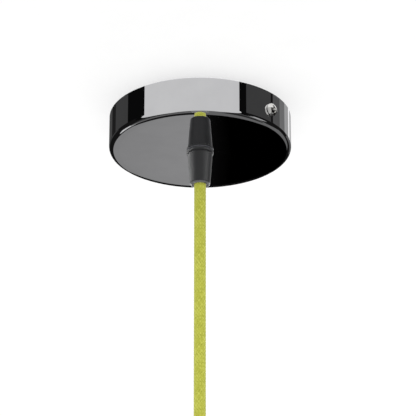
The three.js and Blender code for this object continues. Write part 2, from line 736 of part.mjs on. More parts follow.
function addHolderTerminals() {
  const places = [['live', terminalSpread, liveTerminal], ['neutral', -terminalSpread, -fixingRadius]];
  for (const [name, x, y] of places) {
    addPiece(pendant, `holder_terminal_${name}`, holderTerminal(x, y), brass);
    const length = terminalHeight - terminalAxis - wireDiameter / 2;
    const solid = panScrew(clampScrewShank, length, clampScrewHead, clampScrewRise, smallSides);
    const screw = addPiece(pendant, `holder_terminal_screw_${name}`, solid, zincSteel);
    screw.position.set(x, y, terminalBase + terminalHeight + seatGap);
  }
}

function addBodyScrews() {
  const seat = socketTop - seatGap - liningWall - seatGap;
  const length = holderTop - strapDrop + strapPlate + 1.5 - seat;
  for (const [name, x] of [['body_screw_right', fixingRadius], ['body_screw_left', -fixingRadius]]) {
    const solid = panScrew(bodyScrewShank, length, bodyScrewHead, bodyScrewRise, smallSides);
    const screw = addPiece(pendant, name, solid, zincSteel);
    screw.rotation.x = Math.PI;
    screw.position.set(x, 0, seat);
  }
}

// The earth lug, screwed flat against the inner face of the strap's right leg.
function addHolderEarth() {
  const level = holderTop - (strapTop + strapDrop) / 2;
  const face = strapReach - strapPlate / 2 - seatGap;
  const tongue = strapWidth / 2 + lugReach;
  const lug = addPiece(pendant, 'holder_earth_lug', ringLug(bodyScrewShank, tongue), tinnedCopper);
  lug.rotation.y = Math.PI / 2;
  lug.position.set(face, 0, level);
  const solid = panScrew(bodyScrewShank, lugThickness + 2 * seatGap + 2 * strapPlate, bodyScrewHead,
    bodyScrewRise, smallSides);
  const screw = addPiece(pendant, 'holder_earth_screw', solid, zincSteel);
  screw.rotation.y = -Math.PI / 2;
  screw.position.set(face - lugThickness - seatGap, 0, level);
}

function addHolderCores() {
  const start = jacketBottom - seatGap;
  const wire = terminalWireHeight;
  const drop = start - wire;
  const liveEnd = liveTerminal - terminalDepth / 2 - seatGap;
  const neutralEnd = -fixingRadius + terminalDepth / 2 + seatGap;
  const live = [
    [...coreStart.neutral, start], [...coreStart.neutral, start - coreRun],
    [terminalSpread, -coreDiameter, start - drop * 0.5],
    [terminalSpread, -coreDiameter * 0.9, start - drop * 0.8],
    [terminalSpread, -coreDiameter * 0.27, wire], [terminalSpread, liveEnd, wire],
  ];
  const neutral = [
    [...coreStart.live, start], [...coreStart.live, start - coreRun],
    [-terminalSpread, neutralEnd * 0.16, start - drop * 0.5],
    [-terminalSpread, neutralEnd * 0.28, start - drop * 0.8],
    [-terminalSpread, neutralEnd * 0.62, wire], [-terminalSpread, neutralEnd, wire],
  ];
  const level = holderTop - (strapTop + strapDrop) / 2;
  const barrel = strapReach - strapPlate / 2 - seatGap - lugThickness / 2;
  const mouth = strapWidth / 2 + lugReach + lugBarrelLength + seatGap;
  const earth = [
    [...coreStart.earth, start], [...coreStart.earth, start - coreRun],
    [barrel * 0.06, mouth * 0.45, level + coreDiameter * 0.25], [barrel * 0.24, mouth * 0.9, level],
    [barrel * 0.51, mouth * 1.21, level], [barrel * 0.79, mouth * 1.25, level],
    [barrel * 0.985, mouth + coreDiameter * 0.6, level], [barrel, mouth, level],
  ];
  addPiece(pendant, 'holder_core_live', lead(live, { last: [0, 0.8, 0] }), brownSleeve);
  addPiece(pendant, 'holder_core_neutral', lead(neutral, { last: [0, -0.8, 0] }), blueSleeve);
  addPiece(pendant, 'holder_core_earth', lead(earth, { last: [0, -0.6, 0] }), greenYellowSleeve);
}

function addCanopy() {
  addPiece(pendant, 'canopy_shell', canopyShell(), polishedChrome);
  addPiece(pendant, 'ceiling_bracket', ceilingBracket(), zincSteel);
  addSideScrews();
  const grip = cordGrip('canopy', canopyStack);
  addPiece(grip, 'canopy_lock_washer', lockWasher(canopyWall + seatGap), zincSteel);
  grip.position.z = -canopyHeight;
  pendant.add(grip);
  addTerminalBlock();
  addCanopyCores();
  addBondingLead();
}

function addLampHolder() {
  const grip = cordGrip('holder', holderStack);
  grip.rotation.x = Math.PI;
  grip.position.z = holderTop;
  pendant.add(grip);
  addPiece(pendant, 'holder_shell', holderShell(), polishedChrome);
  addPiece(pendant, 'holder_strap', holderStrap(), zincSteel);
  addPiece(pendant, 'holder_body', holderBody(), ceramic);
  addPiece(pendant, 'socket_lining', socketLining(), brass);
  const contact = addPiece(pendant, 'centre_contact', centreContact(), brass);
  contact.rotation.z = Math.PI / 2;
  addPiece(pendant, 'live_rivet', contactRivet(liveTerminal, contactPlate), brass);
  addPiece(pendant, 'neutral_rivet', contactRivet(-fixingRadius, liningWall), brass);
  addHolderTerminals();
  addBodyScrews();
  addHolderEarth();
  addHolderCores();
}

addCanopy();
addPiece(pendant, 'supply_cord', supplyCord(), limeTextile);
addLampHolder();

export default pendant;
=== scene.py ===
"""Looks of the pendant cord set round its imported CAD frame. Metres, +Z up, the ceiling at z = 0."""
import json
import math

import bmesh
import bpy
from mathutils import Matrix, Vector

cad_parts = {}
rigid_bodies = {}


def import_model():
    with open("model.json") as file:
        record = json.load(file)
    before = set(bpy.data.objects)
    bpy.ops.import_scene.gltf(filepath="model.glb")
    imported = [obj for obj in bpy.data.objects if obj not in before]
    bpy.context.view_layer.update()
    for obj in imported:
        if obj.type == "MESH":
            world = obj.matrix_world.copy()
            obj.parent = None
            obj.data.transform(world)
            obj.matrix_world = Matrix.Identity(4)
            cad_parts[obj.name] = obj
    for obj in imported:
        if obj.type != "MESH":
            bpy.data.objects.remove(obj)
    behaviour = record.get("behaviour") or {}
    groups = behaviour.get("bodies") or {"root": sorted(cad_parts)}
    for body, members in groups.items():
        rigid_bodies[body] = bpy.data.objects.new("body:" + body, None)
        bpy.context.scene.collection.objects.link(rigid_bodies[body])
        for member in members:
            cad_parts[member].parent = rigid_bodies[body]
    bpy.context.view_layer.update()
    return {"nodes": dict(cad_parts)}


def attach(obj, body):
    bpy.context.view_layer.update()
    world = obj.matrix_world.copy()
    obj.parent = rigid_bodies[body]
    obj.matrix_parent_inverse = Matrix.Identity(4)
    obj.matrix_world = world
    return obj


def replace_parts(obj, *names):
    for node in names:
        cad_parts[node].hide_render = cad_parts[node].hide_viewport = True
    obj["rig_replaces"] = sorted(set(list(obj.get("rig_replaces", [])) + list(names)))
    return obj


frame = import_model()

MM = 0.001
UP = Vector((0, 0, 1))
scene = bpy.context.scene
scene.view_settings.view_transform = "Standard"

# The photo's camera: where it stands, how it looks up at the ceiling, and where the canopy's
# centre falls in the photo. It stands 40 degrees round from the bracket's line.
PHOTO_SIDE = 416
CANOPY_IN_PHOTO = (200.15, 118.36)
CAMERA_DISTANCE = 1.45
CAMERA_RISE = math.radians(24.11)
CAMERA_TURN = math.radians(40)
LENS = 227.25
SENSOR = 36

# Sizes shared with the CAD model
CANOPY_RADIUS = 50 * MM
CANOPY_HEIGHT = 20.3 * MM
CANOPY_WALL = 1 * MM
CANOPY_BEND = 2.4 * MM
SCREW_DEPTH = 10.8 * MM
HOLDER_TOP = -206 * MM
HOLDER_RADIUS = 19.5 * MM
HOLDER_HEIGHT = 58 * MM
HOLDER_WALL = 0.8 * MM
HOLDER_BEND = 2.6 * MM
SEAT_GAP = 0.2 * MM
HOLE_GAP = 0.25 * MM
STEM_RADIUS = 5 * MM
STEM_PITCH = 1 * MM
CORD_RADIUS = 3.2 * MM
CORD_CREST = 3.28 * MM  # over the braid's yarns
GRIP_LENGTH = 20.2 * MM
CORE_RADIUS = 1.1 * MM
WIRE_RADIUS = 0.6 * MM
GRIP_STACK = 2 * MM  # the sheet and what else lies between a grip's flange and its nut

# The camera's sideways and forward directions, both level
right = Vector((math.cos(CAMERA_TURN), math.sin(CAMERA_TURN), 0))
away = Vector((-math.sin(CAMERA_TURN), math.cos(CAMERA_TURN), 0))


def add_camera():
    """The photo's camera, aimed so that the canopy's centre falls where it does in the photo."""
    forward = away * math.cos(CAMERA_RISE) + UP * math.sin(CAMERA_RISE)
    top = UP * math.cos(CAMERA_RISE) - away * math.sin(CAMERA_RISE)
    focal = LENS / SENSOR * PHOTO_SIDE
    across, down = ((p - PHOTO_SIDE / 2) / focal * CAMERA_DISTANCE for p in CANOPY_IN_PHOTO)
    lens = bpy.data.cameras.new("photo_camera")
    lens.lens = LENS
    lens.sensor_width = SENSOR
    camera = bpy.data.objects.new("photo_camera", lens)
    turn = Matrix((right, top, -forward)).transposed().to_4x4()
    place = top * down - right * across - forward * CAMERA_DISTANCE
    camera.matrix_world = Matrix.Translation(place) @ turn
    scene.collection.objects.link(camera)
    scene.camera = camera


def rgb(code):
    """Linear colour of an sRGB hex code."""
    parts = [int(code[i:i + 2], 16) / 255 for i in (1, 3, 5)]
    return [*(p / 12.92 if p <= 0.04045 else ((p + 0.055) / 1.055) ** 2.4 for p in parts), 1]


def put(tree, kind, inputs=None, output=0, stops=(), **settings):
    """Adds a node and gives one of its outputs. settings are the node's properties, inputs are values
    or links for its sockets, and stops are the (place, colour) pairs of a colour ramp."""
    node = tree.nodes.new(kind)
    for key, value in settings.items():
        setattr(node, key, value)
    for key, value in (inputs or {}).items():
        if isinstance(value, bpy.types.NodeSocket):
            tree.links.new(value, node.inputs[key])
        else:
            node.inputs[key].default_value = value
    if stops:
        marks = node.color_ramp.elements
        while len(marks) < len(stops):
            marks.new(0.5)
        for mark, (place, colour) in zip(marks, stops):
            mark.position = place
        for mark, (place, colour) in zip(marks, stops):
            mark.color = colour
    return node.outputs[output] if node.outputs else None


def new_tree(name):
    made = bpy.data.materials.new(name)
    made.use_nodes = True
    made.node_tree.nodes.clear()
    return made, made.node_tree


def surface(name, dark, light, grain, rough, relief, relief_grain, **sockets):
    """A material whose colour and roughness drift between two values over the grain, in mm,
    with a relief of the given height over its own grain."""
    made, tree = new_tree(name)
    place = put(tree, "ShaderNodeTexCoord", output="Object")
    drift = put(tree, "ShaderNodeTexNoise", {"Vector": place, "Scale": 1 / (grain * MM), "Detail": 3.0})
    fine = put(tree, "ShaderNodeTexNoise", {"Vector": place, "Scale": 1 / (relief_grain * MM), "Detail": 2.0})
    colour = put(tree, "ShaderNodeValToRGB", {"Fac": drift}, stops=[(0.35, rgb(dark)), (0.65, rgb(light))])
    roughness = put(tree, "ShaderNodeMapRange", {"Value": drift, "From Min": 0.3, "From Max": 0.7,
                                                 "To Min": rough[0], "To Max": rough[1]})
    bump = put(tree, "ShaderNodeBump", {"Height": fine, "Distance": relief * MM, "Strength": 1.0})
    shader = put(tree, "ShaderNodeBsdfPrincipled", {
        "Base Color": colour, "Roughness": roughness, "Normal": bump, **sockets})
    put(tree, "ShaderNodeOutputMaterial", {"Surface": shader})
    return made


def braid_material():
    """Cotton braid: each yarn has its own tone and its fibres run along it; the gaps between yarns are
    darkened as painted shade.
    """
    fibres_per_mm = 8.0  # the lie attribute counts millimetres across the yarn
    blotch_size = 1.1
    shade_share = 0.55
    made, tree = new_tree("lime_cotton_braid")
    place = put(tree, "ShaderNodeTexCoord", output="Object")
    relief, yarn, lie = (put(tree, "ShaderNodeAttribute", output="Fac", attribute_name=name)
                         for name in ("relief", "yarn", "lie"))
    shade = put(tree, "ShaderNodeTexWhiteNoise", {"W": yarn}, "Value", noise_dimensions="1D")
    blotch = put(tree, "ShaderNodeTexNoise", {
        "Vector": place, "Scale": 1 / (blotch_size * MM), "Detail": 4.0})
    blotch = put(tree, "ShaderNodeMath", {0: blotch, 1: 1 - shade_share}, operation="MULTIPLY")
    mixed = put(tree, "ShaderNodeMath", {0: shade, 1: shade_share, 2: blotch}, operation="MULTIPLY_ADD")
    yarn_colour = put(tree, "ShaderNodeValToRGB", {"Fac": mixed}, stops=[
        (0.2, rgb("#BABE3C")), (0.5, rgb("#C8CB4A")), (0.8, rgb("#D5D85C"))])
    fibre = put(tree, "ShaderNodeTexNoise", {"W": lie, "Scale": fibres_per_mm, "Detail": 1.0},
                noise_dimensions="1D")
    # Painted shade: the colour darkens to 0.45 of itself where the relief falls to zero, in the gaps between
    # yarns
    depth = put(tree, "ShaderNodeMapRange", {"Value": relief, "From Min": 0.0, "From Max": 0.5,
                                             "To Min": 0.45, "To Max": 1.0})
    threads = put(tree, "ShaderNodeMapRange", {"Value": fibre, "From Min": 0.3, "From Max": 0.7,
                                               "To Min": 0.82, "To Max": 1.0})
    gap_shade_and_fibres = put(tree, "ShaderNodeMath", {0: depth, 1: threads}, operation="MULTIPLY")
    tone = put(tree, "ShaderNodeVectorMath", {0: yarn_colour, "Scale": gap_shade_and_fibres}, operation="SCALE")
    bump = put(tree, "ShaderNodeBump", {"Height": fibre, "Distance": 0.04 * MM, "Strength": 1.0})
    shader = put(tree, "ShaderNodeBsdfPrincipled", {
        "Base Color": tone, "Roughness": 0.85, "IOR": 1.5, "Sheen Weight": 0.75,
        "Sheen Roughness": 0.4, "Sheen Tint": rgb("#F1F0C0"), "Normal": bump})
    put(tree, "ShaderNodeOutputMaterial", {"Surface": shader})
    return made


def striped_material():
    """Green sleeve with two yellow stripes along it: the stripe attribute is a wave round the core."""
    drift_size, waver = 2, 0.1
    made, tree = new_tree("green_yellow_pvc_sleeve")
    place = put(tree, "ShaderNodeTexCoord", output="Object")
    drift = put(tree, "ShaderNodeTexNoise", {"Vector": place, "Scale": 1 / (drift_size * MM), "Detail": 3.0})
    wave = put(tree, "ShaderNodeAttribute", output="Fac", attribute_name="stripe")
    edge = put(tree, "ShaderNodeMath", {0: drift, 1: waver, 2: wave}, operation="MULTIPLY_ADD")
    colour = put(tree, "ShaderNodeValToRGB", {"Fac": edge}, stops=[
        (0.0, rgb("#D8CC2A")), (0.2, rgb("#D8CC2A")), (0.24, rgb("#3E8A2E"))])
    roughness = put(tree, "ShaderNodeMapRange", {"Value": drift, "To Min": 0.35, "To Max": 0.5})
    shader = put(tree, "ShaderNodeBsdfPrincipled", {
        "Base Color": colour, "IOR": 1.53, "Roughness": roughness})
    put(tree, "ShaderNodeOutputMaterial", {"Surface": shader})
    return made


# Plated over polished steel: a mirror with the faintest waviness
CHROME = surface("polished_chrome_plated_steel", "#F1F1F3", "#F6F6F8", grain=14, rough=(0.006, 0.014),
                 relief=0.0004, relief_grain=9, Metallic=1.0)
# Plated and polished, but less flat than the chrome: bright highlights with soft edges
NICKEL = surface("polished_nickel_plated_steel", "#D2D1CE", "#E2E1DE", grain=3, rough=(0.05, 0.1),
                 relief=0.004, relief_grain=0.7, Metallic=1.0)
# Barrel plated: blue-grey, dull and slightly cloudy
ZINC = surface("zinc_plated_steel", "#A9ADB1", "#C3C6C9", grain=4, rough=(0.28, 0.46),
               relief=0.01, relief_grain=0.5, Metallic=1.0)
# Moulded in a finely blasted tool: a satin black that lightens towards its flanks
BLACK = surface("moulded_black_polyamide", "#0F1012", "#131416", grain=5, rough=(0.42, 0.48),
                relief=0.0008, relief_grain=0.6,
                **{"IOR": 1.47, "Sheen Weight": 0.25, "Sheen Roughness": 0.4})
# The same plastic, painted paler on its rounded edges as a painted highlight, and smoother
PAINTED_HIGHLIGHT_BLACK = surface("black_polyamide_painted_highlight", "#505155", "#5E5F63", grain=1.5, rough=(0.3, 0.4),
                 relief=0.002, relief_grain=0.3, IOR=1.53)
# Moulded and undyed: a warm, slightly waxy white
WHITE = surface("moulded_natural_polyamide", "#DCD9CC", "#E9E6DB", grain=4, rough=(0.4, 0.55),
                relief=0.01, relief_grain=0.3, IOR=1.53)
# Turned: yellow, with an uneven soft shine
BRASS = surface("turned_brass", "#C09A50", "#D4B068", grain=2, rough=(0.2, 0.36),
                relief=0.006, relief_grain=0.4, Metallic=1.0)
# Fired with a thin glaze: cream, with small clear highlights
CERAMIC = surface("glazed_steatite", "#E3DFD4", "#EFEBE2", grain=5, rough=(0.12, 0.22),
                  relief=0.01, relief_grain=1.5, IOR=1.55)
# Dipped in tin: a soft warm grey, finely dimpled
TINNED = surface("tinned_copper", "#B3B0AA", "#CBC8C2", grain=1.2, rough=(0.25, 0.42),
                 relief=0.01, relief_grain=0.3, Metallic=1.0)
# Extruded sleeves: smooth, even colour with a dull shine
BROWN = surface("brown_pvc_sleeve", "#5F3A21", "#6E4529", grain=2, rough=(0.35, 0.48),
                relief=0.004, relief_grain=0.4, IOR=1.53)
BLUE = surface("blue_pvc_sleeve", "#27599C", "#3068AE", grain=2, rough=(0.35, 0.48),
               relief=0.004, relief_grain=0.4, IOR=1.53)
# Drawn wire: reddish, with fine bright and dull streaks
COPPER = surface("bare_copper_strands", "#B5683F", "#CF8558", grain=0.6, rough=(0.25, 0.4),
                 relief=0.02, relief_grain=0.15, Metallic=1.0)
STRIPED = striped_material()
LIME = braid_material()


def spun(outline, steps, swell=None, closed=True):
    """An outline of (radius, height) points turned round Z. swell changes the radius at an angle."""
    verts, rings = [], []
    for radius, height in outline:
        if radius < 1e-9:
            rings.append([len(verts)])
            verts.append((0, 0, height))
            continue
        ring = []
        for i in range(steps):
            angle = 2 * math.pi * i / steps
            reach = swell(radius, angle, height) if swell else radius
            ring.append(len(verts))
            verts.append((reach * math.cos(angle), reach * math.sin(angle), height))
        rings.append(ring)
    faces = []
    for a, b in zip(rings, rings[1:] + (rings[:1] if closed else [])):
        for i in range(steps):
            j = (i + 1) % steps
            if len(a) == 1 and len(b) == 1:
                break
            if len(a) == 1:
                faces.append((a[0], b[j], b[i]))
            elif len(b) == 1:
                faces.append((a[i], a[j], b[0]))
            else:
                faces.append((a[i], a[j], b[j], b[i]))
    return verts, faces


def arc(x, y, radius, start, end, steps=8):
    """Points of an arc about (x, y), its angles in degrees."""
    spread = (math.radians(start + (end - start) * i / steps) for i in range(steps + 1))
    return [(x + radius * math.cos(t), y + radius * math.sin(t)) for t in spread]


def crisp(mesh, sharp):
    """Shades a mesh smooth, but for the edges that turn more than an angle in degrees."""
    mesh.shade_smooth()
    mesh.set_sharp_from_angle(angle=math.radians(sharp))


def piece(name, shape, finish, place=None, sharp=32):
    """An object of verts and faces, or of a ready mesh, with its place baked into its vertices."""
    if isinstance(shape, bpy.types.Mesh):
        mesh = shape
        mesh.name = name
    else:
        mesh = bpy.data.meshes.new(name)
        mesh.from_pydata(shape[0], [], shape[1])
    if place is not None:
        mesh.transform(place)
    edit = bmesh.new()
    edit.from_mesh(mesh)
    bmesh.ops.recalc_face_normals(edit, faces=edit.faces)
    edit.to_mesh(mesh)
    edit.free()
    crisp(mesh, sharp)
    mesh.materials.clear()
    for each in (finish if isinstance(finish, (list, tuple)) else [finish]):
        mesh.materials.append(each)
    made = bpy.data.objects.new(name, mesh)
    scene.collection.objects.link(made)
    return made


def settle(made):
    """Turns what an object's modifiers make of it into its own mesh."""
    graph = bpy.context.evaluated_depsgraph_get()
    mesh = bpy.data.meshes.new_from_object(made.evaluated_get(graph), depsgraph=graph)
    made.modifiers.clear()
    made.data = mesh
    return made


def cut(made, tool):
    """Cuts a tool out of an object and removes the tool."""
    change = made.modifiers.new("cut", "BOOLEAN")
    change.operation = "DIFFERENCE"
    change.solver = "MANIFOLD"
    change.object = tool
    settle(made)
    bpy.data.objects.remove(tool)


def give(made, slot, *nodes):
    """Fixes a piece to the set and lets it stand for CAD nodes. The slot is not used."""
    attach(made, "root")
    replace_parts(made, *nodes)
    return made


def refined(node, finish, slot, edge, sharp=38):
    """The CAD node's shape with its sharp edges broken by an edge in mm, as a piece of its own."""
    weld = 0.001 * MM
    nearly_flat = math.radians(1)
    edit = bmesh.new()
    edit.from_mesh(frame["nodes"][node].data)
    bmesh.ops.remove_doubles(edit, verts=edit.verts, dist=weld)
    bmesh.ops.dissolve_limit(edit, angle_limit=nearly_flat, verts=edit.verts, edges=edit.edges)
    edges = [e for e in edit.edges if e.is_manifold and e.calc_face_angle(0) > math.radians(sharp)]
    bmesh.ops.bevel(edit, geom=edges, offset=edge * MM, offset_type="OFFSET", segments=2, profile=0.6,
                    affect="EDGES", clamp_overlap=True)
    bmesh.ops.remove_doubles(edit, verts=edit.verts, dist=weld)
    mesh = bpy.data.meshes.new(node)
    edit.to_mesh(mesh)
    edit.free()
    give(piece(f"{node}_detail", mesh, finish, sharp=sharp), slot, node)


def cup(radius, height, wall, bend, hole, steps, marks=(), crown=0):
    """A cup open at z = 0, its floor at -height. marks are extra heights of rings on the wall,
    and the floor's edge lies higher than its middle by the crown."""
    near = 0.12 * MM
    lip = 0.25 * MM
    floor_rings = 12
    floor = wall - height
    centre = bend - height
    inside = bend - wall
    flat = radius - bend
    rings = sorted([*marks, centre + near, -lip - near])
    outer = [(radius, z) for z in rings]
    inner = [(radius - wall, z) for z in reversed(rings)]
    reaches = [hole + (flat - hole) * k / floor_rings for k in range(floor_rings)]
    underside = [(r, -height + crown * (r / flat) ** 3) for r in reaches]
    corner = [(x, z + crown * max(0, centre - z) / bend) for x, z in arc(flat, centre, bend, -90, 0)]
    return spun([
        *underside, *corner, *outer,
        (radius, -lip), (radius - lip, 0), (radius - wall + lip, 0), (radius - wall, -lip),
        *inner[1:], *arc(flat, centre, inside, 0, -90), (flat - near, floor), (hole, floor)], steps)


def add_canopy():
    """The canopy, with a hole through its wall on each side for a screw. Its underside has the slight
    crown of pressed sheet, which brings the cord's mirror image into view."""
    crown = 0.15 * MM
    screw_hole, beside_hole = 2.25 * MM, 3 * MM
    marks = (-SCREW_DEPTH - beside_hole, -SCREW_DEPTH + beside_hole)
    shape = cup(CANOPY_RADIUS, CANOPY_HEIGHT, CANOPY_WALL, CANOPY_BEND, STEM_RADIUS + HOLE_GAP, 256,
                marks, crown)
    shell = piece("chrome_canopy", shape, CHROME)
    rod = spun([(0, -1), (screw_hole, -1), (screw_hole, 1), (0, 1)], 32, closed=False)
    drill = piece("drill", rod, CHROME,
                  Matrix.Translation((0, 0, -SCREW_DEPTH)) @ Matrix.Rotation(math.pi / 2, 4, "Y"))
    cut(shell, drill)
    crisp(shell.data, 32)
    give(shell, "polished_chrome", "canopy_shell")


def pan_screw(name, shank, length, head, rise, place, finish, slot, node):
    """A pan-head screw in mm, its head standing on z = 0 and its point down, with a cross recess."""
    pitch, thread = 0.7, 0.055 * shank
    plain, point = 0.6, 0.5  # the shank without a thread, and its chamfer
    edge_in, edge_up = 0.1, 0.12  # the head's lower edge
    brim = 0.34  # the share of the head that stands straight, under the dome
    rows_per_turn = 8
    rows = round(length / (pitch / rows_per_turn))

    def swell(radius, angle, height):
        if height > -plain or radius < shank / 2 - 1e-6:
            return radius
        fade = min(1, (height + length) / pitch, (-plain - height) / pitch)
        turn = 2 * math.pi * height / pitch - angle
        return radius - thread * fade * (1 - math.cos(turn))

    profile = [(0, -length), (shank / 2 - point, -length)]
    profile += [(shank / 2, -length + point + (length - point) * i / rows) for i in range(rows + 1)]
    profile += [(head / 2 - edge_in, 0), (head / 2, edge_up), (head / 2, brim * rise)]
    profile += [(head / 2 * math.cos(t), rise * (brim + (1 - brim) * math.sin(t)))
                for t in (math.radians(a) for a in range(10, 90, 8))]
    profile += [(0, rise)]
    made = piece(name, spun(profile, 72, swell, closed=False), finish, Matrix.Scale(MM, 4))

    # The recess: two crossed wings that narrow from above the head down to its floor
    wing, slit = 0.31 * head, 0.085 * head
    mouth = (rise + 0.5, wing * 1.12, slit * 1.15)
    floor = (rise * 0.2, wing * 0.7, slit * 0.9)
    corners = [corner for z, w, s in (mouth, floor)
               for corner in ((-w, -s, z), (w, -s, z), (w, s, z), (-w, s, z))]
    sides = [(0, 1, 2, 3), (7, 6, 5, 4), (0, 4, 5, 1), (1, 5, 6, 2), (2, 6, 7, 3), (3, 7, 4, 0)]
    for turn in (0, 90):
        turned = Matrix.Rotation(math.radians(turn), 4, "Z") @ Matrix.Scale(MM, 4)
        cut(made, piece("recess", (corners, sides), finish, turned))
    bevel = made.modifiers.new("edge", "BEVEL")
    bevel.width = 0.06 * MM
    bevel.segments = 2
    bevel.angle_limit = math.radians(50)
    settle(made)
    made.data.transform(place)
    crisp(made.data, 40)
    give(made, slot, node)


def add_side_screws():
    """The two screws that hold the canopy to its bracket, in mm, with their crosses turned alike."""
    shank, length, head, rise = 4, 8, 7, 2.4
    spin = Matrix.Rotation(math.radians(18), 4, "Z")
    for name, side in (("right", 1), ("left", -1)):
        place = (Matrix.Translation((side * (CANOPY_RADIUS + SEAT_GAP), 0, -SCREW_DEPTH))
                 @ Matrix.Rotation(side * math.pi / 2, 4, "Y") @ spin)
        pan_screw(f"{name}_canopy_screw", shank, length, head, rise, place, NICKEL, "bright_steel",
                  f"side_screw_{name}")


def threaded(radius, pitch, depth, first, last):
    """A swell that cuts a thread into the rows of one radius, between two heights."""
    def swell(reach, angle, height):
        if abs(reach - radius) > 1e-7 or not first <= height <= last:
            return reach
        fade = min(1, (height - first) / pitch, (last - height) / pitch)
        return reach - depth * fade * (0.5 - 0.5 * math.cos(2 * math.pi * height / pitch - angle))
    return swell


def paint_highlight(made, shape, bottom, top, inside):
    """Gives the paler finish, a painted highlight, to the faces of one rounding: between two heights, past a
    radius.
    """
    marks = []
    for face in shape[1]:
        corners = [shape[0][v] for v in face]
        height = sum(z for x, y, z in corners) / len(corners)
        reach = sum(math.hypot(x, y) for x, y, z in corners) / len(corners)
        marks.append(bottom < height < top and reach > inside)
    made.data.polygons.foreach_set("material_index", marks)
    return made


def add_grip(prefix, place):
    """A cord grip with its flange under z = 0 and its nut above the sheet that it clamps."""
    bore = CORD_RADIUS + HOLE_GAP
    top, flange = -SEAT_GAP, 1.6 * MM
    bottom = top - flange
    wide = 7.4 * MM
    edge = 0.35 * MM
    collet, collet_wall, collet_taper = 4.8 * MM, 1 * MM, 3 * MM
    collet_end = bottom - 13 * MM
    stem_end = GRIP_STACK + 4.2 * MM
    thread_depth, stem_chamfer, bore_chamfer = 0.6 * MM, 0.4 * MM, 0.3 * MM
    rows_per_mm = 8
    first_row = math.ceil((GRIP_STACK - 1 * MM) / MM * rows_per_mm)
    last_row = math.floor(stem_end / MM * rows_per_mm)
    rows = [(STEM_RADIUS, row * MM / rows_per_mm) for row in range(first_row, last_row)]
    base = spun([
        (bore, collet_end), (collet - collet_wall, collet_end), (collet, collet_end + collet_taper),
        (collet, bottom), (wide - edge, bottom), *arc(wide - edge, bottom + edge, edge, -90, 0, 4),
        *arc(wide - edge, top - edge, edge, 0, 90, 4), (STEM_RADIUS, top), *rows,
        (STEM_RADIUS - stem_chamfer, stem_end), (bore + bore_chamfer, stem_end),
        (bore, stem_end - bore_chamfer)], 96,
        threaded(STEM_RADIUS, STEM_PITCH, thread_depth, rows[0][1], rows[-1][1]))
    # The flange's top rounding is painted paler: a painted highlight
    made = piece(f"{prefix}_grip_flange", base, (BLACK, PAINTED_HIGHLIGHT_BLACK), place)
    give(paint_highlight(made, base, top - edge, top, wide - edge), "black_plastic", f"{prefix}_grip_base")

    start = bottom - SEAT_GAP
    tip = -GRIP_LENGTH
    wide, narrow, nose = 6.85 * MM, 5.55 * MM, 1.1 * MM
    slope = (wide - narrow) / (start - tip)
    shoulder = narrow + slope * nose
    rim, land, lead_in = 0.3 * MM, 0.4 * MM, 0.6 * MM
    # How far up from the tip the nose's painted highlight reaches
    highlight_height = 0.6 * MM
    inner = collet + HOLE_GAP
    inner_end = collet_end - 1 * MM
    cone = spun([
        (bore, tip + rim), (bore + rim, tip), *arc(shoulder - nose, tip + nose, nose, -90, 0, 12),
        (shoulder + slope * land, tip + nose + land),
        (wide - slope * 3 * rim, start - 3 * rim), *arc(wide - rim, start - rim, rim, 0, 90, 4),
        (inner, start), (inner, collet_end + collet_taper - SEAT_GAP), (bore + lead_in, inner_end),
        (bore, inner_end)], 128)
    # The nose's rounding is painted paler: a painted highlight
    made = piece(f"{prefix}_grip_nose", cone, (BLACK, PAINTED_HIGHLIGHT_BLACK), place)
    give(paint_highlight(made, cone, tip, tip + highlight_height, shoulder - nose), "black_plastic", f"{prefix}_grip_cone")

    nut_low, nut_high = GRIP_STACK + SEAT_GAP, GRIP_STACK + 3.2 * MM
    flat, chamfer = 7 * MM, 0.8 * MM
    corner = flat / math.cos(math.pi / 6)
    hole, hole_edge = STEM_RADIUS + HOLE_GAP, 0.2 * MM

    def hexagon(reach, angle, height):
        if reach < flat:
            return reach
        side = flat / math.cos((angle + math.pi / 6) % (math.pi / 3) - math.pi / 6)
        drop = min(height - nut_low, nut_high - height)
        return min(side, corner - chamfer + 2 * drop)

    levels = [nut_low + chamfer * k / 8 for k in range(5)]
    levels += [nut_low + nut_high - z for z in reversed(levels)]
    nut = spun([(hole, nut_low + hole_edge), (hole + hole_edge, nut_low), *((corner, z) for z in levels),
                (hole + hole_edge, nut_high), (hole, nut_high - hole_edge)], 144, hexagon)
    give(piece(f"{prefix}_stem_nut", nut, ZINC, place, 25), "zinc_steel", f"{prefix}_lock_nut")


# From inside the canopy's grip to inside the holder's, in metres
CORD_ROUTE = [
    (0, 0, -0.0139), (0, 0, -0.022), (0, 0, -0.031), (0, 0, -0.041), (0, 0, -0.053), (0, 0, -0.065),
    (0, 0, -0.078), (0, 0, -0.091), (0, 0, -0.104), (0, 0, -0.117), (0, 0, -0.130), (0, 0, -0.143),
    (0, 0, -0.156), (0, 0, -0.169), (0, 0, -0.182), (0, 0, -0.194), (0, 0, -0.204), (0, 0, -0.2124),
]


def curve_points(route, spacing):
    """Points along a centripetal Catmull-Rom curve through the route, about evenly spaced."""
    knots = [Vector(p) for p in route]
    knots = [2 * knots[0] - knots[1], *knots, 2 * knots[-1] - knots[-2]]
    line = []
    for a, b, c, d in zip(knots, knots[1:], knots[2:], knots[3:]):
        t = [0.0]
        for p, q in ((a, b), (b, c), (c, d)):
            t.append(t[-1] + math.sqrt((q - p).length))
        count = max(1, round((c - b).length / spacing))
        for k in range(count):
            x = t[1] + (t[2] - t[1]) * k / count
            ab, bc, cd = (p.lerp(q, (x - s) / (e - s)) for p, q, s, e in
                          ((a, b, t[0], t[1]), (b, c, t[1], t[2]), (c, d, t[2], t[3])))
            abc, bcd = ab.lerp(bc, (x - t[0]) / (t[2] - t[0])), bc.lerp(cd, (x - t[1]) / (t[3] - t[1]))
            line.append(abc.lerp(bcd, (x - t[1]) / (t[2] - t[1])))
    return line + [knots[-2]]


